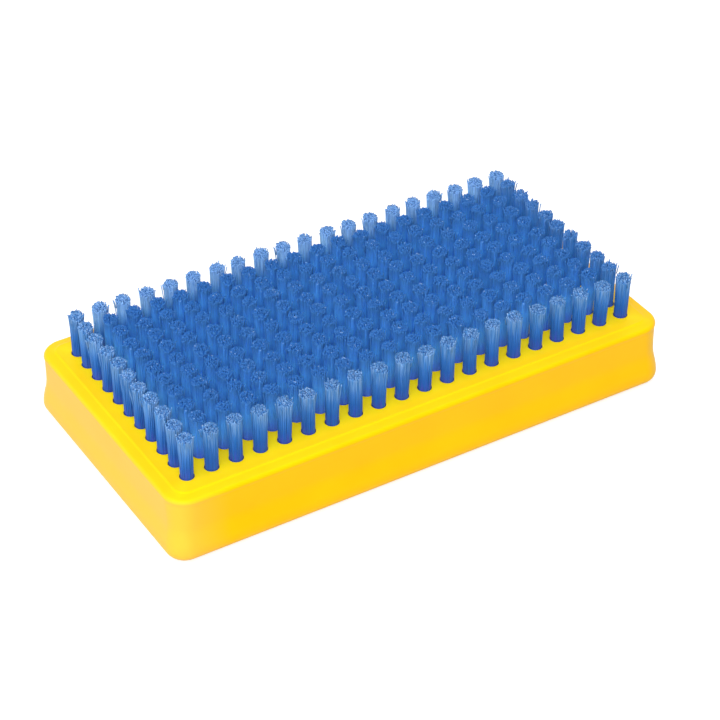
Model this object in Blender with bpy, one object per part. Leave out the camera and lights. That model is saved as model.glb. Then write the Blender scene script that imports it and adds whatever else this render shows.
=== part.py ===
"""Hand polishing brush lying on its back: a moulded grip block with crosswise rows of tufts.

Metres, +Z up. The length runs along X and the width along Y. The flat palm side rests on
Z = 0, and the bristles stand up from the drilled face.
"""

import math

import bmesh
import bpy

# Grip block
BLOCK_LENGTH = 0.1221
BLOCK_WIDTH = 0.0648
BLOCK_HEIGHT = 0.0160
CORNER_RADIUS = 0.0044
CORNER_FLARE = 0.0015
PALM_EDGE_RADIUS = 0.0024
WAIST_INSET = 0.0003
WAIST_HEIGHT_SHARE = 0.5
RIM_INSET = 0.00055
RIM_UNDERCUT = 0.00015
RIM_EDGE_RADIUS = 0.0009
RIM_DROP = 0.0004
FACE_INSET = 0.0025
FACE_STEP = 0.0002

# Drilled field
HOLE_DIAMETER = 0.0031
HOLE_DEPTH = 0.0065
LAND_ALONG = 0.00255
LAND_ACROSS = 0.0018
END_MARGIN = 0.0072
SIDE_MARGIN = 0.0078

# Rows of tufts
BRISTLE_LENGTH = 0.0108
STRIP_THICKNESS = 0.0020
STRIP_BORDER = 0.0003
TUFT_SPREAD = 0.0005
FOLD_GAP = 0.0003

# Fits
CLEARANCE = 0.0003
OVERRUN = 0.001

# Fineness of the curves
CORNER_STEPS = 8
PALM_EDGE_STEPS = 6
GRIP_STEPS = 6
RIM_STEPS = 3
HOLE_SIDES = 8
TUFT_SIDES = 6
SMOOTH_ANGLE = math.radians(30)

YELLOW_PLASTIC = (0.98, 0.56, 0.012, 1.0)
BLUE_NYLON = (0.032, 0.145, 0.47, 1.0)

# Worked out from the sizes above
PITCH_ALONG = HOLE_DIAMETER + LAND_ALONG
PITCH_ACROSS = HOLE_DIAMETER + LAND_ACROSS
ROW_COUNT = 1 + int((BLOCK_LENGTH - 2 * END_MARGIN) / PITCH_ALONG)
TUFT_COUNT = 1 + int((BLOCK_WIDTH - 2 * SIDE_MARGIN) / PITCH_ACROSS)
SLOT_WIDTH = HOLE_DIAMETER + 2 * STRIP_BORDER
SLOT_LENGTH = (TUFT_COUNT - 1) * PITCH_ACROSS + SLOT_WIDTH
SLOT_FLOOR = BLOCK_HEIGHT - HOLE_DEPTH
SLOT_CEILING = SLOT_FLOOR + STRIP_THICKNESS + 2 * CLEARANCE
STRIP_TOP = SLOT_FLOOR + CLEARANCE + STRIP_THICKNESS
MOUTH_DIAMETER = HOLE_DIAMETER - 2 * CLEARANCE
TIP_DIAMETER = MOUTH_DIAMETER + 2 * TUFT_SPREAD


def plastic(name, colour, roughness):
    """Principled material of one plain colour."""
    material = bpy.data.materials.new(name)
    material.use_nodes = True
    shader = material.node_tree.nodes["Principled BSDF"]
    shader.inputs["Base Color"].default_value = colour
    shader.inputs["Roughness"].default_value = roughness
    shader.inputs["Metallic"].default_value = 0.0
    material.diffuse_color = colour
    return material


def centred(count, pitch):
    """Evenly spaced places on both sides of zero."""
    start = -(count - 1) * pitch / 2
    return [start + index * pitch for index in range(count)]


def quarter_arc(radius, steps):
    """Run and rise of a quarter circle that starts level and ends upright."""
    turns = [math.pi / 2 * step / steps for step in range(steps + 1)]
    return [(radius * math.sin(turn), radius * (1 - math.cos(turn))) for turn in turns]


def palm_edge():
    """Rounded edge between the palm side and the bulge below the grip."""
    arc = quarter_arc(PALM_EDGE_RADIUS, PALM_EDGE_STEPS)
    return [(PALM_EDGE_RADIUS - run, rise) for run, rise in arc]


def grip_hollow(rim_height):
    """Finger hollow: an easy S from the bulge to the waist, then a flare out to the rim."""
    waist_height = PALM_EDGE_RADIUS + (rim_height - PALM_EDGE_RADIUS) * WAIST_HEIGHT_SHARE
    lip_height = rim_height - RIM_UNDERCUT
    lip_inset = RIM_INSET + RIM_UNDERCUT
    waist_inset = RIM_INSET + WAIST_INSET
    points = []
    for step in range(1, GRIP_STEPS + 1):
        share = step / GRIP_STEPS
        ease = (1 - math.cos(math.pi * share)) / 2
        height = PALM_EDGE_RADIUS + (waist_height - PALM_EDGE_RADIUS) * share
        points.append((waist_inset * ease, height))
    for step in range(1, GRIP_STEPS + 1):
        share = step / GRIP_STEPS
        ease = math.cos(math.pi / 2 * share)
        inset = lip_inset + (waist_inset - lip_inset) * ease
        points.append((inset, waist_height + (lip_height - waist_height) * share))
    return points


def rim_and_face(rim_height):
    """Crisp rim edge, sloping border and the fine step up to the drilled face."""
    turns = [math.pi / 2 * step / RIM_STEPS for step in range(RIM_STEPS + 1)]
    points = []
    for turn in turns:
        inset = RIM_INSET + RIM_EDGE_RADIUS * (1 - math.cos(turn))
        points.append((inset, rim_height + RIM_EDGE_RADIUS * math.sin(turn)))
    points.append((RIM_INSET + FACE_INSET, BLOCK_HEIGHT - FACE_STEP))
    points.append((RIM_INSET + FACE_INSET + FACE_STEP, BLOCK_HEIGHT))
    return points


def block_profile():
    """Inset from the widest outline and height of every ring of the block, from the palm side up."""
    rim_height = BLOCK_HEIGHT - RIM_DROP - RIM_EDGE_RADIUS
    return palm_edge() + grip_hollow(rim_height) + rim_and_face(rim_height)


def rounded_rectangle(length, width, radius):
    """Counter-clockwise outline with an arc at each corner."""
    points = []
    for quarter, (side_x, side_y) in enumerate([(1, 1), (-1, 1), (-1, -1), (1, -1)]):
        centre_x = side_x * (length / 2 - radius)
        centre_y = side_y * (width / 2 - radius)
        for step in range(CORNER_STEPS + 1):
            turn = math.pi / 2 * (quarter + step / CORNER_STEPS)
            points.append((centre_x + radius * math.cos(turn), centre_y + radius * math.sin(turn)))
    return points


def ring_faces(mesh, lower, upper):
    """Close the wall between two rings of as many vertices."""
    for index in range(len(lower)):
        after = (index + 1) % len(lower)
        mesh.faces.new((lower[index], lower[after], upper[after], upper[index]))


def make_block(material):
    """Moulded block, lofted through rounded rectangles that follow its side profile.

    Its upright corners open slightly, from the palm side to the rim.
    """
    mesh = bmesh.new()
    rings = []
    for inset, height in block_profile():
        radius = CORNER_RADIUS + CORNER_FLARE * height / BLOCK_HEIGHT - inset
        outline = rounded_rectangle(BLOCK_LENGTH - 2 * inset, BLOCK_WIDTH - 2 * inset, radius)
        rings.append([mesh.verts.new((x, y, height)) for x, y in outline])
    for lower, upper in zip(rings, rings[1:]):
        ring_faces(mesh, lower, upper)
    mesh.faces.new(reversed(rings[0]))
    mesh.faces.new(rings[-1])
    return finish_object("block", mesh, material)


def add_comb(mesh, centre_x, length, width, bottom, top, columns):
    """Add a closed bar along Y whose top face carries upright columns.

    A column is a list of rings of points, from its foot in the bar's top face to its tip.
    """
    corners = [(-1, -1), (1, -1), (1, 1), (-1, 1)]
    floor = [
        mesh.verts.new((centre_x + side_x * width / 2, side_y * length / 2, bottom))
        for side_x, side_y in corners
    ]
    rim = [mesh.verts.new((corner.co.x, corner.co.y, top)) for corner in floor]
    ring_faces(mesh, floor, rim)
    mesh.faces.new(reversed(floor))
    top_edges = [mesh.edges.get((rim[index], rim[index - 1])) for index in range(len(rim))]
    for column in columns:
        rings = [[mesh.verts.new((centre_x + x, y, z)) for x, y, z in ring] for ring in column]
        for lower, upper in zip(rings, rings[1:]):
            ring_faces(mesh, lower, upper)
        mesh.faces.new(rings[-1])
        foot = rings[0]
        top_edges += [mesh.edges.get((foot[index], foot[index - 1])) for index in range(len(foot))]
    bmesh.ops.triangle_fill(mesh, use_beauty=True, edges=top_edges, normal=(0.0, 0.0, 1.0))


def hole_column(centre_y):
    """Drill for one hole, flat sides towards its neighbours, running out above the face."""
    radius = HOLE_DIAMETER / 2 / math.cos(math.pi / HOLE_SIDES)
    turns = [2 * math.pi * (side + 0.5) / HOLE_SIDES for side in range(HOLE_SIDES)]
    outline = [(radius * math.cos(turn), centre_y + radius * math.sin(turn)) for turn in turns]
    heights = (SLOT_CEILING, BLOCK_HEIGHT + OVERRUN)
    return [[(x, y, height) for x, y in outline] for height in heights]


def leg_outline(centre_y, side, diameter, height):
    """Half a hexagon: one of the two legs of a tuft that is folded over its anchor."""
    points = []
    for corner in range(TUFT_SIDES // 2 + 1):
        turn = 2 * math.pi * corner / TUFT_SIDES
        across = max(diameter / 2 * math.sin(turn), FOLD_GAP / 2)
        points.append((diameter / 2 * math.cos(turn), centre_y + side * across, height))
    return points if side > 0 else points[::-1]


def tuft_legs(centre_y):
    """Both legs of a tuft, which opens evenly from its strip through the mouth to its tips."""
    tip_height = BLOCK_HEIGHT + BRISTLE_LENGTH
    opening = (TIP_DIAMETER - MOUTH_DIAMETER) / BRISTLE_LENGTH
    foot_diameter = MOUTH_DIAMETER - opening * (BLOCK_HEIGHT - STRIP_TOP)
    return [
        [
            leg_outline(centre_y, side, foot_diameter, STRIP_TOP),
            leg_outline(centre_y, side, TIP_DIAMETER, tip_height),
        ]
        for side in (-1, 1)
    ]


def make_row_mesh():
    """One crosswise row: its tufts, fused to the strip of backing that they are set in."""
    mesh = bmesh.new()
    columns = []
    for centre_y in centred(TUFT_COUNT, PITCH_ACROSS):
        columns += tuft_legs(centre_y)
    length = SLOT_LENGTH - 2 * CLEARANCE
    width = SLOT_WIDTH - 2 * CLEARANCE
    add_comb(mesh, 0.0, length, width, SLOT_FLOOR + CLEARANCE, STRIP_TOP, columns)
    return mesh


def drill_field(block):
    """Cut the holes, and the slots below them that the strips of backing lie in."""
    mesh = bmesh.new()
    columns = [hole_column(centre_y) for centre_y in centred(TUFT_COUNT, PITCH_ACROSS)]
    for centre_x in centred(ROW_COUNT, PITCH_ALONG):
        add_comb(mesh, centre_x, SLOT_LENGTH, SLOT_WIDTH, SLOT_FLOOR, SLOT_CEILING, columns)
    drills = finish_object("field_drills", mesh, None)
    drills.hide_render = True
    drills.display_type = "WIRE"
    cut = block.modifiers.new("drilled field", "BOOLEAN")
    cut.operation = "DIFFERENCE"
    cut.solver = "EXACT"
    cut.object = drills
    return drills


def finish_object(name, mesh, material):
    """Turn an edited mesh into an object in the scene, smooth on its round stretches."""
    bmesh.ops.recalc_face_normals(mesh, faces=mesh.faces)
    data = bpy.data.meshes.new(name)
    mesh.to_mesh(data)
    mesh.free()
    data.shade_smooth()
    data.set_sharp_from_angle(angle=SMOOTH_ANGLE)
    if material:
        data.materials.append(material)
    thing = bpy.data.objects.new(name, data)
    bpy.context.scene.collection.objects.link(thing)
    return thing


def place_rows(material):
    """Set a copy of the row in each slot, from the left end to the right."""
    places = centred(ROW_COUNT, PITCH_ALONG)
    first = finish_object("tuft_row_01", make_row_mesh(), material)
    rows = [first]
    for number in range(2, ROW_COUNT + 1):
        row = bpy.data.objects.new(f"tuft_row_{number:02d}", first.data)
        bpy.context.scene.collection.objects.link(row)
        rows.append(row)
    for row, centre_x in zip(rows, places):
        row.location = (centre_x, 0.0, 0.0)
    return rows


def build():
    """Clear the scene and build the whole brush."""
    for thing in list(bpy.data.objects):
        bpy.data.objects.remove(thing, do_unlink=True)
    brush = bpy.data.objects.new("polishing_brush", None)
    bpy.context.scene.collection.objects.link(brush)
    block = make_block(plastic("yellow_plastic", YELLOW_PLASTIC, 0.38))
    drills = drill_field(block)
    rows = place_rows(plastic("blue_nylon", BLUE_NYLON, 0.5))
    for piece in [block, drills] + rows:
        piece.parent = brush


build()
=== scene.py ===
"""Looks of the hand polishing brush: the moulded block, its drilled face and the nylon tufts."""

import math
import random

import bmesh
import bpy
from mathutils import Matrix, Vector


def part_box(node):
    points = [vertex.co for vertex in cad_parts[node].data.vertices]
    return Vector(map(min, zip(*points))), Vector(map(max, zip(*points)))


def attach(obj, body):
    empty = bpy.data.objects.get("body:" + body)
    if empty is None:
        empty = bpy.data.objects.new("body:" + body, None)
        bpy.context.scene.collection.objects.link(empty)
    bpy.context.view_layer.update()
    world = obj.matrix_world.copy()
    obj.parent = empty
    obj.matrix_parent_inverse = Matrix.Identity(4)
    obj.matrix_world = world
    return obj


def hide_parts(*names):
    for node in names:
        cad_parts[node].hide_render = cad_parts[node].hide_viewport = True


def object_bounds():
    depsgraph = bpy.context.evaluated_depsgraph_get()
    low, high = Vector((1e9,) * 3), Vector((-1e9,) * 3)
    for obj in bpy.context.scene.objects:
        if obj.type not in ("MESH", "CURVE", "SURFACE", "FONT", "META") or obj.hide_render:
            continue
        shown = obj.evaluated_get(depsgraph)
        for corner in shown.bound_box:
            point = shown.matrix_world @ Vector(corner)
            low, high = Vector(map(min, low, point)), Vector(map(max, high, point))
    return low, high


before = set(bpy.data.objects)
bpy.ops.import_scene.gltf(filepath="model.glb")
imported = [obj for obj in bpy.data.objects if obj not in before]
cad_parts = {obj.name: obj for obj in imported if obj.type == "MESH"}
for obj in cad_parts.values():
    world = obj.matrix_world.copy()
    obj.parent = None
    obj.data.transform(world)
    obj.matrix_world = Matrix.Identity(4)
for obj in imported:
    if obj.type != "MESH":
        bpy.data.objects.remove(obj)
CAD_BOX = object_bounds()
BLOCK_LOW, BLOCK_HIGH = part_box("block")
ROWS = sorted(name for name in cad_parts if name.startswith("tuft_row_"))

# Block, in metres
LENGTH = BLOCK_HIGH.x - BLOCK_LOW.x
WIDTH = BLOCK_HIGH.y - BLOCK_LOW.y
FACE_HEIGHT = BLOCK_HIGH.z
CORNER_RADIUS = 0.0044
CORNER_FLARE = 0.0015
PALM_EDGE_RADIUS = 0.0024
WAIST_INSET = 0.0003
WAIST_HEIGHT_SHARE = 0.5
RIM_INSET = 0.00055
RIM_UNDERCUT = 0.00015
RIM_EDGE_RADIUS = 0.0009
RIM_DROP = 0.0004
RIM_TOP = FACE_HEIGHT - RIM_DROP
RIM_LINE = RIM_TOP - RIM_EDGE_RADIUS
FACE_INSET = 0.0025
FACE_STEP = 0.0002
CORNER_SEGMENTS = 24
PALM_SEGMENTS = 12
RIM_SEGMENTS = 8
GRIP_CUTS = 30
STEP_CUTS = 4
STEP_WIDTH = 0.0007
TINY = 1e-6

# Drilled field
TUFTS_ACROSS = 11
HOLE_DIAMETER = 0.0031
HOLE_DEPTH = 0.0058
MOUTH_ROUND = 0.00012
MOUTH_STEPS = 3
HOLE_SEGMENTS = 24
ROW_LOW, ROW_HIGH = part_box(ROWS[0])
PITCH_ACROSS = (ROW_HIGH.y - ROW_LOW.y - HOLE_DIAMETER) / (TUFTS_ACROSS - 1)
TIP_HEIGHT = ROW_HIGH.z
BRISTLE_LENGTH = TIP_HEIGHT - FACE_HEIGHT

# Tufts
TUFT_KINDS = 12
NECK_RADIUS = 0.00131
TIP_RADIUS = 0.00149
ROOT_DEPTH = 0.0020
STRAND_RADIUS = 0.000115
STRAND_SIDES = 5
LONG_STATIONS = (0.0, 0.16, 0.6, 0.95, 1.0)
SHORT_STATIONS = (0.0, 0.8, 1.0)
BURR_START = 0.99
BURR_SWELL = 1.2
BURR_SPREAD = 0.00006
CORE_SHARE = 0.95
CORE_SIDES = 18
CORE_DROP = 0.0013
CORE_ROUND = 0.0003
FOLD_GAP = 0.0001
OUTER_RINGS = ((0.96, 44), (0.85, 34))
INNER_RINGS = ((0.72, 25), (0.57, 20), (0.42, 14), (0.26, 9), (0.08, 3))
INNER_DEPTH = 0.0030
PLACE_JITTER = 0.00004
CURL = 0.0001
STRAY_SHARE = 0.16
STRAY_CURL = 0.00042
LENGTH_JITTER = 0.00052
DOME = 0.0006
LEG_JITTER = 0.00025
LEG_PART = 0.00016
TOP_SLOPE = 0.00012
LEAN = 0.00022
CUT_DEPTH = 0.0026
CUT_HEIGHT = TIP_HEIGHT - CUT_DEPTH
FLAT_NORMAL = 0.5
CUT_MATERIAL = 1
TUFT_SEED = 700
ROW_SEED = 41
CORE_TINT = 0.5

# How much painted light a tuft gets by its place: painted highlights on the front and left tufts,
# some on the right, a painted backlit glow on the back; it is kept on its mesh for the materials
INNER_PAINTED_LIGHT = 0.0
FRONT_PAINTED_LIGHT = 1.0
LEFT_PAINTED_LIGHT = 1.07
RIGHT_PAINTED_LIGHT = 0.45
BACK_PAINTED_LIGHT = 2.0

# Ranges that values are spread over
WHOLE = (0.0, 1.0)
RISING = (0.0, 1.0)
FALLING = (1.0, 0.0)
MIDDLE = (0.3, 0.7)

# Yellow plastic
PLASTIC_IOR = 1.54
PLASTIC_GLOSS_TINT = (1.0, 0.75, 0.0, 1.0)
PLASTIC_ROUGHNESS = (0.34, 0.48)
# One plastic in three yellows: border and face are painted lighter than the side for the light on
# the top, the face lighter still to cancel the tufts' shade
SIDE_YELLOWS = ((0.965, 0.505, 0.0006, 1.0), (0.985, 0.54, 0.0010, 1.0))
BORDER_YELLOWS = ((0.97, 0.55, 0.002, 1.0), (0.985, 0.605, 0.003, 1.0))
FACE_YELLOWS = ((0.985, 0.72, 0.004, 1.0), (0.995, 0.78, 0.005, 1.0))
# Painted sheen: a paler yellow over the left end and round its front corner, standing in for a
# glossy reflection
LEFT_END_SHEEN_YELLOW = (0.975, 0.54, 0.050, 1.0)
# Painted shade in the holes, tinted violet like light thrown back from the blue filaments
HOLE_SHADE_VIOLET = (0.08, 0.06, 0.40, 1.0)
RIM_FADE = 0.00125
FACE_FADE = 0.0070
LEFT_END_START = 0.0030
LEFT_END_FADE = 0.0130
FIELD_SHARES = (0.3, 0.6)
MOUTH_EDGE = MOUTH_ROUND / 6
HOLE_FLOOR_FADE = 0.001
CLOUD_SCALE = 90.0
CLOUD_DETAIL = 4.0
SKIN_SCALE = 1600.0
SKIN_DETAIL = 2.0
SKIN_DEPTH = 0.00005
SKIN_STRENGTH = 0.10

# Blue nylon: colours by height, from the foot at 0 to the tip at 1
NYLON_IOR = 1.53
NYLON_GLOSS = 0.18
NYLON_ROUGHNESS = (0.38, 0.52)
# Inner tufts: painted light, much brighter down the sides to cancel the shade between the tufts,
# darker towards the tips
INNER_BLUES = (
    (0.0, (0.080, 0.20, 0.98, 1.0)),
    (0.12, (0.066, 0.25, 0.98, 1.0)),
    (0.30, (0.085, 0.37, 1.00, 1.0)),
    (0.55, (0.095, 0.43, 1.00, 1.0)),
    (0.72, (0.068, 0.285, 0.77, 1.0)),
    (0.88, (0.048, 0.195, 0.51, 1.0)),
    (0.94, (0.042, 0.175, 0.48, 1.0)),
)
# Outer tufts: the violet, darker foot is painted shade mixed with light thrown back from the yellow
# face; the colours lighten towards the tips
PLAIN_BLUES = (
    (0.0, (0.060, 0.070, 0.56, 1.0)),
    (0.12, (0.031, 0.085, 0.54, 1.0)),
    (0.30, (0.012, 0.122, 0.485, 1.0)),
    (0.60, (0.023, 0.177, 0.55, 1.0)),
    (0.90, (0.053, 0.232, 0.565, 1.0)),
)
# Painted highlights: pale streaks on the upper part of the outer tufts
HIGHLIGHT_BLUES = (
    (0.25, (0.012, 0.119, 0.49, 1.0)),
    (0.50, (0.045, 0.187, 0.57, 1.0)),
    (0.70, (0.124, 0.305, 0.635, 1.0)),
    (0.90, (0.215, 0.388, 0.66, 1.0)),
)
# Back tufts: painted backlit glow, lighter at middle heights to cancel the shade of their
# neighbours
BACKLIT_BLUES = (
    (0.0, (0.070, 0.14, 0.80, 1.0)),
    (0.30, (0.060, 0.32, 0.92, 1.0)),
    (0.50, (0.200, 0.54, 1.00, 1.0)),
    (0.70, (0.340, 0.64, 1.00, 1.0)),
    (0.90, (0.240, 0.46, 0.82, 1.0)),
)
STREAK_STRETCH = (1.0, 1.0, 0.04)
STREAK_SCALE = 4500.0
STREAK_DETAIL = 2.0
HIGHLIGHT_STREAK_RANGE = (0.38, 0.60)
STREAK_TINT = (0.95, 1.05)
STRAND_TINT = (0.92, 1.08)
BACKLIGHT_PATCH_RANGE = (0.35, 0.55)
PATCH_SHARES = (0.55, 1.0)

# Cut ends of the nylon: colours from one filament to the next
CUT_GLOSS = 0.0
CUT_ROUGHNESS = 0.6
# The white last stop paints glints on a few filaments' cut ends
INNER_CUT_BLUES = (
    (0.0, (0.017, 0.108, 0.395, 1.0)),
    (0.97, (0.023, 0.126, 0.435, 1.0)),
    (0.975, (0.32, 0.48, 0.74, 1.0)),
)
# Outer tufts' cut ends: painted lighter for the light on the outside of the field; the last stop
# paints glints
OUTER_CUT_BLUES = (
    (0.0, (0.006, 0.030, 0.13, 1.0)),
    (0.25, (0.026, 0.110, 0.32, 1.0)),
    (0.85, (0.072, 0.198, 0.45, 1.0)),
    (0.96, (0.330, 0.48, 0.72, 1.0)),
)
CUT_PATCH_SCALE = 170.0
CUT_PATCH_DETAIL = 1.0
CUT_PATCH_RANGE = (0.54, 0.66)
CUT_PATCH_SHARES = (0.0, 0.45)
CUT_PAINTED_LIGHT = (0.3, 1.0)
SPECKLE_SCALE = 9000.0
SPECKLE_DETAIL = 1.0
SPECKLE_TINT = (0.92, 1.08)
LEFT_CUT_LIFT = (1.0, 1.22)
BACK_CUT_PAINTED_LIGHT = (1.5, BACK_PAINTED_LIGHT)
BACK_CUT_FALL = (1.0, 0.72)

# Room: floor, world and lamps, each lamp with its place, size and power
FLOOR_HALF_WIDTH = 1.5
FLOOR_WHITE = (0.6, 0.6, 0.6, 1.0)
FLOOR_ROUGHNESS = 0.9
FLOOR_SEEN_GLOW = 0.6
FLOOR_MIRRORED_GLOW = 0.3
WORLD_WHITE = (1.0, 1.0, 1.0, 1.0)
WORLD_STRENGTHS = (0.48, 1.0)
LAMPS = (
    ("main_lamp", (-0.72, -0.26, 0.64), 1.5, 7.6),
    ("front_lamp", (-0.42, -0.69, 0.60), 0.6, 4.6),
    ("top_lamp", (0.10, 0.05, 1.0), 0.8, 3.8),
)

# Numbers of a mix node's colour sockets
MIX_FIRST = 6
MIX_SECOND = 7
MIX_RESULT = 2

# Camera, as the photograph was taken
CAMERA_AZIMUTH = math.radians(-31.44)
CAMERA_ELEVATION = math.radians(36.39)
CAMERA_DISTANCE = 0.5265
CAMERA_RIGHT = 0.00166
CAMERA_UP = -0.00583
LENS = 121.6
SENSOR = 36.0
CLIP_START = 0.01


def middle_along(name):
    """Middle of a crosswise row along the block."""
    low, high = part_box(name)
    return (low.x + high.x) / 2


ROW_PLACES = [middle_along(name) for name in ROWS]
PITCH_ALONG = (ROW_PLACES[-1] - ROW_PLACES[0]) / (len(ROWS) - 1)
TUFT_PLACES = [
    (index - (TUFTS_ACROSS - 1) / 2) * PITCH_ACROSS for index in range(TUFTS_ACROSS)
]


def finished(name, mesh):
    """Turn an edited mesh into an object in the scene."""
    data = bpy.data.meshes.new(name)
    mesh.to_mesh(data)
    mesh.free()
    thing = bpy.data.objects.new(name, data)
    bpy.context.scene.collection.objects.link(thing)
    return thing


def bevelled(mesh, edges, offset, segments):
    """Round some edges."""
    bmesh.ops.bevel(
        mesh,
        geom=edges,
        offset=offset,
        offset_type="OFFSET",
        segments=segments,
        profile=0.5,
        affect="EDGES",
        material=-1,
    )


def level_edges(mesh, height):
    """Edges that lie at one height."""
    return [
        edge for edge in mesh.edges if all(abs(end.co.z - height) < TINY for end in edge.verts)
    ]


def side_inset(height):
    """How far the side is drawn in: bulge, finger hollow, then the flare to the rim."""
    lip_height = RIM_LINE - RIM_UNDERCUT
    lip_inset = RIM_INSET + RIM_UNDERCUT
    waist_inset = RIM_INSET + WAIST_INSET
    waist = PALM_EDGE_RADIUS + (RIM_LINE - PALM_EDGE_RADIUS) * WAIST_HEIGHT_SHARE
    if height <= PALM_EDGE_RADIUS:
        return 0.0
    if height <= waist:
        share = (height - PALM_EDGE_RADIUS) / (waist - PALM_EDGE_RADIUS)
        return waist_inset * (1 - math.cos(math.pi * share)) / 2
    if height <= lip_height:
        share = (height - waist) / (lip_height - waist)
        return lip_inset + (waist_inset - lip_inset) * math.cos(math.pi / 2 * share)
    return RIM_INSET + max(0.0, RIM_LINE - height)


def draw_in_sides(mesh):
    """Move the walls in, square to the outline, and open the upright corners towards the rim."""
    core_x = LENGTH / 2 - CORNER_RADIUS
    core_y = WIDTH / 2 - CORNER_RADIUS
    for vert in mesh.verts:
        core = Vector((max(-core_x, min(core_x, vert.co.x)), max(-core_y, min(core_y, vert.co.y))))
        outward = vert.co.xy - core
        if outward.length < TINY:
            continue
        opening = CORNER_FLARE * vert.co.z / FACE_HEIGHT
        reach = outward.length + opening - side_inset(vert.co.z)
        core.x -= math.copysign(opening, core.x)
        core.y -= math.copysign(opening, core.y)
        vert.co.xy = core + outward.normalized() * reach


def block_shell():
    """Closed block with its rim and hollowed sides, before its face is raised and drilled."""
    mesh = bmesh.new()
    bmesh.ops.create_cube(mesh, size=1.0)
    bmesh.ops.scale(mesh, vec=(LENGTH, WIDTH, RIM_TOP), verts=mesh.verts)
    bmesh.ops.translate(mesh, vec=(0.0, 0.0, RIM_TOP / 2), verts=mesh.verts)
    upright = [edge for edge in mesh.edges if abs(edge.verts[0].co.z - edge.verts[1].co.z) > TINY]
    bevelled(mesh, upright, CORNER_RADIUS, CORNER_SEGMENTS)
    bevelled(mesh, level_edges(mesh, 0.0), PALM_EDGE_RADIUS, PALM_SEGMENTS)
    bevelled(mesh, level_edges(mesh, RIM_TOP), RIM_EDGE_RADIUS, RIM_SEGMENTS)
    for cut in range(1, GRIP_CUTS + 1):
        height = PALM_EDGE_RADIUS + (RIM_LINE - PALM_EDGE_RADIUS) * cut / (GRIP_CUTS + 1)
        everything = mesh.verts[:] + mesh.edges[:] + mesh.faces[:]
        bmesh.ops.bisect_plane(mesh, geom=everything, plane_co=(0, 0, height), plane_no=(0, 0, 1))
    draw_in_sides(mesh)
    return mesh


def raise_face(mesh):
    """Slope the border up from the rim, then step up to the drilled face. Returns that face."""
    face = max(mesh.faces, key=lambda candidate: candidate.calc_center_median().z)
    rise = FACE_HEIGHT - FACE_STEP - RIM_TOP
    bmesh.ops.inset_region(
        mesh,
        faces=[face],
        thickness=FACE_INSET - STEP_WIDTH / 2 - RIM_EDGE_RADIUS,
        depth=rise,
        use_even_offset=True,
    )
    for cut in range(STEP_CUTS):
        before = (1 - math.cos(math.pi * cut / STEP_CUTS)) / 2
        after = (1 - math.cos(math.pi * (cut + 1) / STEP_CUTS)) / 2
        bmesh.ops.inset_region(
            mesh,
            faces=[face],
            thickness=STEP_WIDTH / STEP_CUTS,
            depth=FACE_STEP * (after - before),
            use_even_offset=True,
        )
    return face


def nearest_hole(point):
    """Centre of the hole that a point belongs to."""
    along = ROW_PLACES[0] + round((point.x - ROW_PLACES[0]) / PITCH_ALONG) * PITCH_ALONG
    across = TUFT_PLACES[0] + round((point.y - TUFT_PLACES[0]) / PITCH_ACROSS) * PITCH_ACROSS
    return Vector((along, across))


def hole_profile():
    """Radius and depth of a hole, from the start of its rounded mouth to its floor."""
    profile = []
    for step in range(MOUTH_STEPS + 1):
        turn = math.pi / 2 * step / MOUTH_STEPS
        widening = MOUTH_ROUND * (1 - math.sin(turn))
        profile.append((HOLE_DIAMETER / 2 + widening, MOUTH_ROUND * (1 - math.cos(turn))))
    profile.append((HOLE_DIAMETER / 2, HOLE_DEPTH))
    return profile


def drill_face(mesh, face):
    """Swap the plain face for one with a round-edged blind hole for each tuft."""
    outline = list(face.edges)
    bmesh.ops.delete(mesh, geom=[face], context="FACES_ONLY")
    profile = hole_profile()
    radius = profile[0][0]
    ring = []
    for along in ROW_PLACES:
        for across in TUFT_PLACES:
            circle = bmesh.ops.create_circle(
                mesh,
                cap_ends=False,
                radius=radius,
                segments=HOLE_SEGMENTS,
                matrix=Matrix.Translation((along, across, FACE_HEIGHT)),
            )
            ring += list({edge for vert in circle["verts"] for edge in vert.link_edges})
    flat = bmesh.ops.triangle_fill(mesh, use_beauty=True, edges=outline + ring)
    for part in flat["geom"]:
        if isinstance(part, bmesh.types.BMFace):
            for edge in part.edges:
                edge.smooth = False
    for next_radius, next_depth in profile[1:]:
        grown = bmesh.ops.extrude_edge_only(mesh, edges=ring)["geom"]
        ring = [part for part in grown if isinstance(part, bmesh.types.BMEdge)]
        for vert in [part for part in grown if isinstance(part, bmesh.types.BMVert)]:
            centre = nearest_hole(vert.co)
            vert.co.xy = centre + (vert.co.xy - centre) * next_radius / radius
            vert.co.z = FACE_HEIGHT - next_depth
        radius = next_radius
    bmesh.ops.holes_fill(mesh, edges=ring, sides=0)


def make_block(material):
    """The moulded block with its drilled face."""
    mesh = block_shell()
    face = raise_face(mesh)
    drill_face(mesh, face)
    bmesh.ops.recalc_face_normals(mesh, faces=mesh.faces)
    for part in mesh.faces:
        part.smooth = True
    for edge in level_edges(mesh, 0.0):
        edge.smooth = False
    block = finished("moulded_block", mesh)
    block.data.materials.append(material)
    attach(block, "root")
    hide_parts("block")


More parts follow.
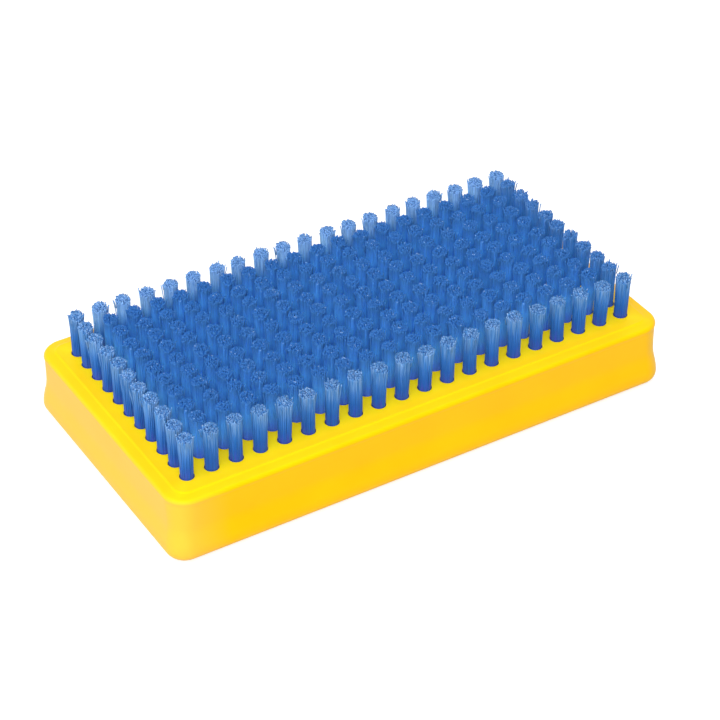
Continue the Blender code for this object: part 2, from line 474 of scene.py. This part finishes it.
def column(name, sides, rings):
    """Closed upright column through rings of radius and height."""
    mesh = bmesh.new()
    first_radius, first_height = rings[0]
    circle = bmesh.ops.create_circle(
        mesh,
        cap_ends=True,
        radius=first_radius,
        segments=sides,
        matrix=Matrix.Translation((0.0, 0.0, first_height)),
    )
    lid = circle["verts"][0].link_faces[0]
    for (radius, height), (next_radius, next_height) in zip(rings, rings[1:]):
        lid = bmesh.ops.extrude_discrete_faces(mesh, faces=[lid])["faces"][0]
        growth = next_radius / radius
        bmesh.ops.scale(mesh, vec=(growth, growth, 1.0), verts=lid.verts)
        bmesh.ops.translate(mesh, vec=(0.0, 0.0, next_height - height), verts=lid.verts)
    bmesh.ops.edgeloop_fill(mesh, edges=[edge for edge in mesh.edges if edge.is_boundary])
    bmesh.ops.recalc_face_normals(mesh, faces=mesh.faces)
    data = bpy.data.meshes.new(name)
    mesh.to_mesh(data)
    mesh.free()
    return data


def copied_in(mesh, data):
    """Add a mesh to the one being edited. Returns its vertices there."""
    before = len(mesh.verts)
    mesh.from_mesh(data)
    mesh.verts.ensure_lookup_table()
    return mesh.verts[before:]


def tuft_radius(height):
    """Radius of a tuft, which opens from its hole to its tips."""
    return NECK_RADIUS + (TIP_RADIUS - NECK_RADIUS) * max(0.0, height) / BRISTLE_LENGTH


def core_rings():
    """The heart of a tuft, up to where its inner filaments stand free."""
    top = BRISTLE_LENGTH - CORE_DROP
    heights = (-ROOT_DEPTH, 0.0, top / 2, top - CORE_ROUND)
    rings = [(CORE_SHARE * tuft_radius(height), height) for height in heights]
    return rings + [(CORE_SHARE * tuft_radius(top) - CORE_ROUND, top)]


def ring_places(dice, rings):
    """Places of filaments on rings in a disc of radius one."""
    places = []
    for reach, count in rings:
        start = dice.random()
        for index in range(count):
            turn = 2 * math.pi * (index + start) / count
            places.append(Vector((reach * math.cos(turn), reach * math.sin(turn))))
    return places


def add_strand(mesh, shade, dice, data, place, leg, foot):
    """Bend one filament along its path through the tuft, from its foot to its cut end."""
    side = 1 if place.y > 0 else -1
    stray = STRAY_CURL if dice.random() < STRAY_SHARE else CURL
    curl = Vector((dice.gauss(0, stray), dice.gauss(0, stray)))
    shift = Vector((dice.gauss(0, PLACE_JITTER), dice.gauss(0, PLACE_JITTER)))
    trim = abs(dice.gauss(0, LENGTH_JITTER))
    trim += leg["drop"][side] + leg["slope"].dot(place) + DOME * place.length_squared
    top = BRISTLE_LENGTH - max(0.0, trim)
    turn = dice.uniform(0, math.pi)
    twist = Matrix.Rotation(turn, 2)
    tint = dice.random()
    for vert in copied_in(mesh, data):
        share = vert.co.z
        height = foot + (top - foot) * share
        rise = max(0.0, height) / BRISTLE_LENGTH
        middle = place * tuft_radius(height) + shift + curl * rise * rise
        middle.y += side * (FOLD_GAP / 2 + leg["part"] * rise)
        swell = STRAND_RADIUS
        if share > BURR_START:
            middle += place * BURR_SPREAD
            swell *= BURR_SWELL
        around = twist @ vert.co.xy
        vert.co.xy = middle + around * swell
        vert.co.z = FACE_HEIGHT + height
        vert[shade] = tint


def make_tuft(kind, core, long_strand, short_strand):
    """One tuft round its own middle, folded into two legs and standing on the drilled face."""
    dice = random.Random(TUFT_SEED + kind)
    mesh = bmesh.new()
    mesh.verts.layers.float.new("painted_light_level")
    shade = mesh.verts.layers.float.new("strand")
    leg = {
        "drop": {-1: dice.uniform(0.0, LEG_JITTER), 1: dice.uniform(0.0, LEG_JITTER)},
        "slope": Vector((dice.uniform(-TOP_SLOPE, TOP_SLOPE), dice.uniform(-TOP_SLOPE, TOP_SLOPE))),
        "part": LEG_PART * max(0.0, dice.uniform(-1.0, 1.0)),
    }
    for vert in copied_in(mesh, core):
        vert[shade] = CORE_TINT
        vert.co.z += FACE_HEIGHT
    for place in ring_places(dice, OUTER_RINGS):
        add_strand(mesh, shade, dice, long_strand, place, leg, -ROOT_DEPTH)
    for place in ring_places(dice, INNER_RINGS):
        add_strand(mesh, shade, dice, short_strand, place, leg, BRISTLE_LENGTH - INNER_DEPTH)
    data = bpy.data.meshes.new(f"tuft_kind_{kind}")
    mesh.to_mesh(data)
    mesh.free()
    return data


def painted_light_of(name, across):
    """How much painted light the tuft at one place of a row gets."""
    if name == ROWS[0]:
        return LEFT_PAINTED_LIGHT
    if across == TUFT_PLACES[0]:
        return FRONT_PAINTED_LIGHT
    if across == TUFT_PLACES[-1]:
        return BACK_PAINTED_LIGHT
    if name == ROWS[-1]:
        return RIGHT_PAINTED_LIGHT
    return INNER_PAINTED_LIGHT


def make_rows(sides, cut_ends):
    """All rows of tufts, each row one piece."""
    core = column("tuft_core", CORE_SIDES, core_rings())
    long_strand = column("long_strand", STRAND_SIDES, [(1.0, share) for share in LONG_STATIONS])
    short_strand = column("short_strand", STRAND_SIDES, [(1.0, share) for share in SHORT_STATIONS])
    kinds = [make_tuft(kind, core, long_strand, short_strand) for kind in range(TUFT_KINDS)]
    dice = random.Random(ROW_SEED)
    for name, along in zip(ROWS, ROW_PLACES):
        mesh = bmesh.new()
        for across in TUFT_PLACES:
            fresh = copied_in(mesh, dice.choice(kinds))
            painted_light_level = mesh.verts.layers.float["painted_light_level"]
            # painted light chosen by the tuft's place in the field
            tuft_painted_light = painted_light_of(name, across)
            turn = Matrix.Rotation(math.pi * dice.randrange(2), 4, "Z")
            lean = Vector((dice.uniform(-LEAN, LEAN), dice.uniform(-LEAN, LEAN)))
            bmesh.ops.transform(mesh, matrix=turn, verts=fresh)
            for vert in fresh:
                rise = max(0.0, vert.co.z - FACE_HEIGHT) / BRISTLE_LENGTH
                vert.co.xy += Vector((along, across)) + lean * rise
                vert[painted_light_level] = tuft_painted_light
        for part in mesh.faces:
            flat = abs(part.normal.z) > FLAT_NORMAL
            part.smooth = not flat
            if flat and part.calc_center_median().z > CUT_HEIGHT:
                part.material_index = CUT_MATERIAL
        row = finished(name.replace("tuft_row", "bristle_row"), mesh)
        row.data.materials.append(sides)
        row.data.materials.append(cut_ends)
        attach(row, "root")
        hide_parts(name)
    for spare in kinds + [core, long_strand, short_strand]:
        bpy.data.meshes.remove(spare)


def new_material(name):
    """Material with nodes. Returns it, its nodes, its links and its shader."""
    material = bpy.data.materials.new(name)
    material.use_nodes = True
    nodes = material.node_tree.nodes
    return material, nodes, material.node_tree.links, nodes["Principled BSDF"]


def noise(nodes, links, vector, scale, detail):
    """Noise texture on a vector. Returns its value."""
    cloud = nodes.new("ShaderNodeTexNoise")
    cloud.inputs["Scale"].default_value = scale
    cloud.inputs["Detail"].default_value = detail
    links.new(vector, cloud.inputs["Vector"])
    return cloud.outputs["Fac"]


def stretched(nodes, links, vector, scale):
    """Coordinates scaled on each axis."""
    mapping = nodes.new("ShaderNodeMapping")
    mapping.inputs["Scale"].default_value = scale
    links.new(vector, mapping.inputs["Vector"])
    return mapping.outputs["Vector"]


def ramp(nodes, links, value, stops):
    """Colours along a value."""
    band = nodes.new("ShaderNodeValToRGB")
    elements = band.color_ramp.elements
    while len(elements) < len(stops):
        elements.new(1.0)
    for element, (position, colour) in zip(elements, stops):
        element.position = position
        element.color = colour
    links.new(value, band.inputs["Fac"])
    return band.outputs["Color"]


def spread(nodes, links, value, given, wanted):
    """Value carried from one range to another."""
    span = nodes.new("ShaderNodeMapRange")
    span.inputs["From Min"].default_value = given[0]
    span.inputs["From Max"].default_value = given[1]
    span.inputs["To Min"].default_value = wanted[0]
    span.inputs["To Max"].default_value = wanted[1]
    links.new(value, span.inputs["Value"])
    return span.outputs["Result"]


def calculated(nodes, links, operation, first, second):
    """Two values put together."""
    sum_node = nodes.new("ShaderNodeMath")
    sum_node.operation = operation
    for socket, value in zip(sum_node.inputs, (first, second)):
        if isinstance(value, float):
            socket.default_value = value
        else:
            links.new(value, socket)
    return sum_node.outputs["Value"]


def mixed(nodes, links, factor, first, second):
    """Two colours mixed by a factor. The second may be a plain colour."""
    mix = nodes.new("ShaderNodeMix")
    mix.data_type = "RGBA"
    links.new(factor, mix.inputs["Factor"])
    links.new(first, mix.inputs[MIX_FIRST])
    if isinstance(second, tuple):
        mix.inputs[MIX_SECOND].default_value = second
    else:
        links.new(second, mix.inputs[MIX_SECOND])
    return mix.outputs[MIX_RESULT]


def brightened(nodes, links, colour, value):
    """Colour made lighter or darker by a value round one."""
    shade = nodes.new("ShaderNodeHueSaturation")
    links.new(value, shade.inputs["Value"])
    links.new(colour, shade.inputs["Color"])
    return shade.outputs["Color"]


def grain(nodes, links, shader, height, distance, strength):
    """Fine relief from a value."""
    bump = nodes.new("ShaderNodeBump")
    bump.inputs["Strength"].default_value = strength
    bump.inputs["Distance"].default_value = distance
    links.new(height, bump.inputs["Height"])
    links.new(bump.outputs["Normal"], shader.inputs["Normal"])


def clouded(nodes, links, cloud, yellows):
    """Two yellows that change into each other in soft clouds."""
    return ramp(nodes, links, cloud, tuple(zip(MIDDLE, yellows)))


def hole_shares(nodes, links, height, inside):
    """Share of painted shade: one on the walls and rounded mouths of the holes, and nothing
    elsewhere.
    """
    field = spread(nodes, links, inside, FIELD_SHARES, RISING)
    mouth = (FACE_HEIGHT - MOUTH_ROUND, FACE_HEIGHT - MOUTH_EDGE)
    sunk = spread(nodes, links, height, mouth, FALLING)
    hole_floor = FACE_HEIGHT - HOLE_DEPTH
    above = spread(nodes, links, height, (hole_floor - HOLE_FLOOR_FADE, hole_floor), RISING)
    below_face = calculated(nodes, links, "MULTIPLY", field, sunk)
    return calculated(nodes, links, "MULTIPLY", below_face, above)


def yellow_plastic():
    """Satin yellow moulding, one plastic in several yellows with painted light: darker sides,
    border and face painted lighter, painted shade in the holes, a painted sheen on the left end.
    """
    material, nodes, links, shader = new_material("moulded_yellow")
    shader.inputs["IOR"].default_value = PLASTIC_IOR
    shader.inputs["Specular Tint"].default_value = PLASTIC_GLOSS_TINT
    place = nodes.new("ShaderNodeTexCoord").outputs["Object"]
    cloud = noise(nodes, links, place, CLOUD_SCALE, CLOUD_DETAIL)
    side = clouded(nodes, links, cloud, SIDE_YELLOWS)
    border = clouded(nodes, links, cloud, BORDER_YELLOWS)
    face = clouded(nodes, links, cloud, FACE_YELLOWS)
    split = nodes.new("ShaderNodeSeparateXYZ")
    links.new(place, split.inputs["Vector"])
    height = split.outputs["Z"]
    upper = spread(nodes, links, height, (FACE_HEIGHT - RIM_FADE, RIM_TOP), RISING)
    along = calculated(nodes, links, "ABSOLUTE", split.outputs["X"], 0.0)
    across = calculated(nodes, links, "ABSOLUTE", split.outputs["Y"], 0.0)
    right_end = CAD_BOX[1][0]
    back_side = CAD_BOX[1][1]
    end_band = (right_end - FACE_FADE, right_end - FACE_INSET)
    side_band = (back_side - FACE_FADE, back_side - FACE_INSET)
    from_end = spread(nodes, links, along, end_band, FALLING)
    from_side = spread(nodes, links, across, side_band, FALLING)
    inside = calculated(nodes, links, "MINIMUM", from_end, from_side)
    raised = calculated(nodes, links, "MULTIPLY", inside, upper)
    # painted sheen on the left end and its corner
    left_end = (CAD_BOX[0][0] + LEFT_END_START, CAD_BOX[0][0] + LEFT_END_FADE)
    painted_sheen = spread(nodes, links, split.outputs["X"], left_end, FALLING)
    side = mixed(nodes, links, painted_sheen, side, LEFT_END_SHEEN_YELLOW)
    # painted light: the border and face take lighter yellows than the side
    outside = mixed(nodes, links, upper, side, border)
    plastic = mixed(nodes, links, raised, outside, face)
    # painted shade on the hole walls round the tuft feet
    painted_hole_shade = hole_shares(nodes, links, height, inside)
    plastic = mixed(nodes, links, painted_hole_shade, plastic, HOLE_SHADE_VIOLET)
    links.new(plastic, shader.inputs["Base Color"])
    links.new(spread(nodes, links, cloud, WHOLE, PLASTIC_ROUGHNESS), shader.inputs["Roughness"])
    skin = noise(nodes, links, place, SKIN_SCALE, SKIN_DETAIL)
    grain(nodes, links, shader, skin, SKIN_DEPTH, SKIN_STRENGTH)
    return material


def named_value(nodes, name):
    """Value that a piece carries on its mesh."""
    source = nodes.new("ShaderNodeAttribute")
    source.attribute_name = name
    return source.outputs["Fac"]


def blue_nylon():
    """Blue nylon filament with painted light: violet painted shade at its foot, paler painted
    highlight streaks on the outer tufts, a painted backlit glow on the back tufts.
    """
    material, nodes, links, shader = new_material("nylon_blue")
    shader.inputs["IOR"].default_value = NYLON_IOR
    shader.inputs["Specular IOR Level"].default_value = NYLON_GLOSS
    place = nodes.new("ShaderNodeTexCoord").outputs["Object"]
    split = nodes.new("ShaderNodeSeparateXYZ")
    links.new(place, split.inputs["Vector"])
    height = spread(nodes, links, split.outputs["Z"], (FACE_HEIGHT, TIP_HEIGHT), RISING)
    inner = ramp(nodes, links, height, INNER_BLUES)
    plain = ramp(nodes, links, height, PLAIN_BLUES)
    pale = ramp(nodes, links, height, HIGHLIGHT_BLUES)
    painted_backlight = ramp(nodes, links, height, BACKLIT_BLUES)
    drawn_out = stretched(nodes, links, place, STREAK_STRETCH)
    fine = noise(nodes, links, drawn_out, STREAK_SCALE, STREAK_DETAIL)
    streaky = spread(nodes, links, fine, HIGHLIGHT_STREAK_RANGE, RISING)
    painted_light_level = named_value(nodes, "painted_light_level")
    # painted highlight streaks on the outer tufts
    paled = mixed(nodes, links, streaky, plain, pale)
    body = mixed(nodes, links, painted_light_level, inner, paled)
    # painted backlit glow on the back tufts, in patches
    behind = calculated(nodes, links, "SUBTRACT", painted_light_level, FRONT_PAINTED_LIGHT)
    patchy = spread(nodes, links, fine, BACKLIGHT_PATCH_RANGE, PATCH_SHARES)
    share = calculated(nodes, links, "MULTIPLY", behind, patchy)
    body = mixed(nodes, links, share, body, painted_backlight)
    tint = spread(nodes, links, named_value(nodes, "strand"), WHOLE, STRAND_TINT)
    streak = spread(nodes, links, fine, MIDDLE, STREAK_TINT)
    value = calculated(nodes, links, "MULTIPLY", tint, streak)
    links.new(brightened(nodes, links, body, value), shader.inputs["Base Color"])
    links.new(spread(nodes, links, fine, MIDDLE, NYLON_ROUGHNESS), shader.inputs["Roughness"])
    return material


def cut_nylon():
    """Dull cut ends of the filaments with painted light: paler on the outer tufts, lighter on the
    left ones, darker on the back ones, a few white ones as painted glints, paler in random patches.
    """
    material, nodes, links, shader = new_material("nylon_cut_ends")
    shader.inputs["IOR"].default_value = NYLON_IOR
    shader.inputs["Specular IOR Level"].default_value = CUT_GLOSS
    shader.inputs["Roughness"].default_value = CUT_ROUGHNESS
    strand = named_value(nodes, "strand")
    inner = ramp(nodes, links, strand, INNER_CUT_BLUES)
    outer = ramp(nodes, links, strand, OUTER_CUT_BLUES)
    place = nodes.new("ShaderNodeTexCoord").outputs["Object"]
    # paler in random soft patches
    clouds = noise(nodes, links, place, CUT_PATCH_SCALE, CUT_PATCH_DETAIL)
    paled = spread(nodes, links, clouds, CUT_PATCH_RANGE, CUT_PATCH_SHARES)
    painted_light_level = named_value(nodes, "painted_light_level")
    painted_light_share = spread(nodes, links, painted_light_level, CUT_PAINTED_LIGHT, RISING)
    share = calculated(nodes, links, "MAXIMUM", painted_light_share, paled)
    tone = mixed(nodes, links, share, inner, outer)
    speckle = noise(nodes, links, place, SPECKLE_SCALE, SPECKLE_DETAIL)
    value = spread(nodes, links, speckle, MIDDLE, SPECKLE_TINT)
    # painted light: the left tufts' cut ends lighter; the back tufts' ends darker
    left_lift = spread(nodes, links, painted_light_level, (FRONT_PAINTED_LIGHT, LEFT_PAINTED_LIGHT), LEFT_CUT_LIFT)
    back_fall = spread(nodes, links, painted_light_level, BACK_CUT_PAINTED_LIGHT, BACK_CUT_FALL)
    value = calculated(nodes, links, "MULTIPLY", value, left_lift)
    value = calculated(nodes, links, "MULTIPLY", value, back_fall)
    links.new(brightened(nodes, links, tone, value), shader.inputs["Base Color"])
    return material


def make_floor():
    """Plain white floor that keeps a soft shadow and shows white to the camera."""
    mesh = bmesh.new()
    bmesh.ops.create_grid(mesh, x_segments=1, y_segments=1, size=FLOOR_HALF_WIDTH)
    floor = finished("floor", mesh)
    material, nodes, links, shader = new_material("white_floor")
    shader.inputs["Base Color"].default_value = FLOOR_WHITE
    shader.inputs["Roughness"].default_value = FLOOR_ROUGHNESS
    shader.inputs["Specular IOR Level"].default_value = 0.0
    glow = nodes.new("ShaderNodeEmission")
    path = nodes.new("ShaderNodeLightPath")
    to_camera = path.outputs["Is Camera Ray"]
    to_gloss = path.outputs["Is Glossy Ray"]
    seen = calculated(nodes, links, "MULTIPLY", to_camera, FLOOR_SEEN_GLOW)
    mirrored = calculated(nodes, links, "MULTIPLY", to_gloss, FLOOR_MIRRORED_GLOW)
    links.new(calculated(nodes, links, "ADD", seen, mirrored), glow.inputs["Strength"])
    both = nodes.new("ShaderNodeAddShader")
    links.new(shader.outputs["BSDF"], both.inputs[0])
    links.new(glow.outputs["Emission"], both.inputs[1])
    links.new(both.outputs["Shader"], nodes["Material Output"].inputs["Surface"])
    floor.data.materials.append(material)


def make_world():
    """Even white surroundings."""
    world = bpy.data.worlds.new("white_room")
    world.use_nodes = True
    nodes = world.node_tree.nodes
    links = world.node_tree.links
    path = nodes.new("ShaderNodeLightPath")
    seen = calculated(
        nodes, links, "MAXIMUM", path.outputs["Is Camera Ray"], path.outputs["Is Glossy Ray"]
    )
    sky = nodes["Background"]
    sky.inputs["Color"].default_value = WORLD_WHITE
    links.new(spread(nodes, links, seen, WHOLE, WORLD_STRENGTHS), sky.inputs["Strength"])
    bpy.context.scene.world = world


def make_lamp(name, place, size, power):
    """Soft square lamp that faces the brush."""
    lamp = bpy.data.lights.new(name, "AREA")
    lamp.size = size
    lamp.energy = power
    thing = bpy.data.objects.new(name, lamp)
    thing.location = place
    thing.rotation_euler = Vector(place).to_track_quat("Z", "Y").to_euler()
    bpy.context.scene.collection.objects.link(thing)


def make_camera():
    """Camera at the photograph's viewing angle."""
    back = Vector(
        (
            math.sin(CAMERA_AZIMUTH) * math.cos(CAMERA_ELEVATION),
            -math.cos(CAMERA_AZIMUTH) * math.cos(CAMERA_ELEVATION),
            math.sin(CAMERA_ELEVATION),
        )
    )
    turn = back.to_track_quat("Z", "Y")
    right = turn @ Vector((1.0, 0.0, 0.0))
    up = turn @ Vector((0.0, 1.0, 0.0))
    lens = bpy.data.cameras.new("camera")
    lens.lens = LENS
    lens.sensor_width = SENSOR
    lens.clip_start = CLIP_START
    camera = bpy.data.objects.new("camera", lens)
    aim = Vector((0.0, 0.0, FACE_HEIGHT))
    camera.location = aim + back * CAMERA_DISTANCE + right * CAMERA_RIGHT + up * CAMERA_UP
    camera.rotation_euler = turn.to_euler()
    bpy.context.scene.collection.objects.link(camera)
    bpy.context.scene.camera = camera


make_block(yellow_plastic())
make_rows(blue_nylon(), cut_nylon())
make_floor()
make_world()
for name, place, size, power in LAMPS:
    make_lamp(name, place, size, power)
make_camera()
bpy.context.scene.view_settings.view_transform = "Standard"
